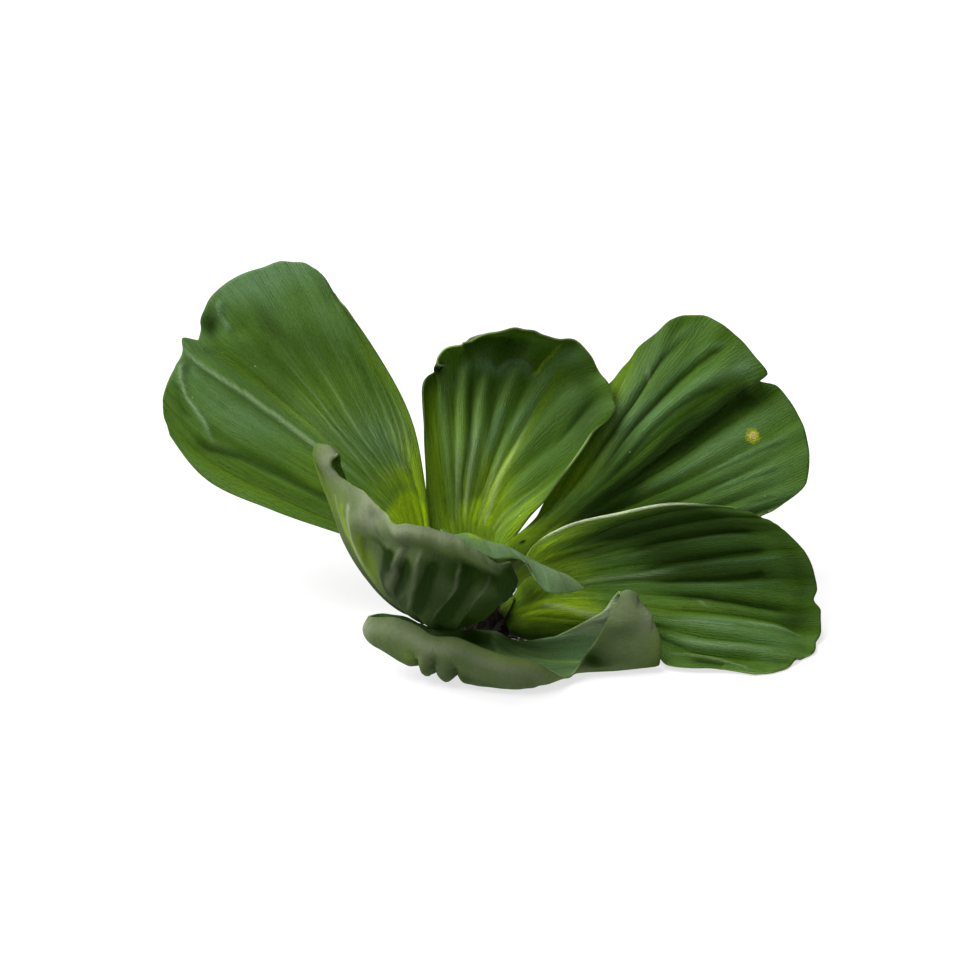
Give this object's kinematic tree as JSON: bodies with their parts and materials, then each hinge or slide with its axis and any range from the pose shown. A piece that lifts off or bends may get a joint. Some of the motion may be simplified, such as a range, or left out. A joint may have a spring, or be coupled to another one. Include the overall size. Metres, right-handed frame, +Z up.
{
  "type": "water lettuce rosette",
  "caption": "Picked water lettuce: a rosette of broad ribbed leaves on a short brown crown, with a trimmed tuft of roots.",
  "frame": {"origin": "on the ground, on the flat underside of the root tuft, straight below the middle of the crown", "axes": "+Z up; +Y towards the back, away from the viewer of the picture; +X to the right"},
  "size_m": [0.2083, 0.1241, 0.0984],
  "materials": {
    "leaf_green": "velvety, softly ribbed",
    "leaf_blue_green": "velvety, bluish bloom",
    "crown_brown": "matte, fibrous",
    "root_brown": "matte, fibrous"
  },
  "bodies": {
    "root": {"leaf_back_left": "leaf_green", "leaf_back_centre": "leaf_green", "leaf_back_right": "leaf_green", "leaf_right": "leaf_green", "leaf_front_left": "leaf_green", "leaf_inner": "leaf_blue_green", "leaf_front": "leaf_blue_green", "crown": "crown_brown", "roots": "root_brown"}
  },
  "joints": []
}
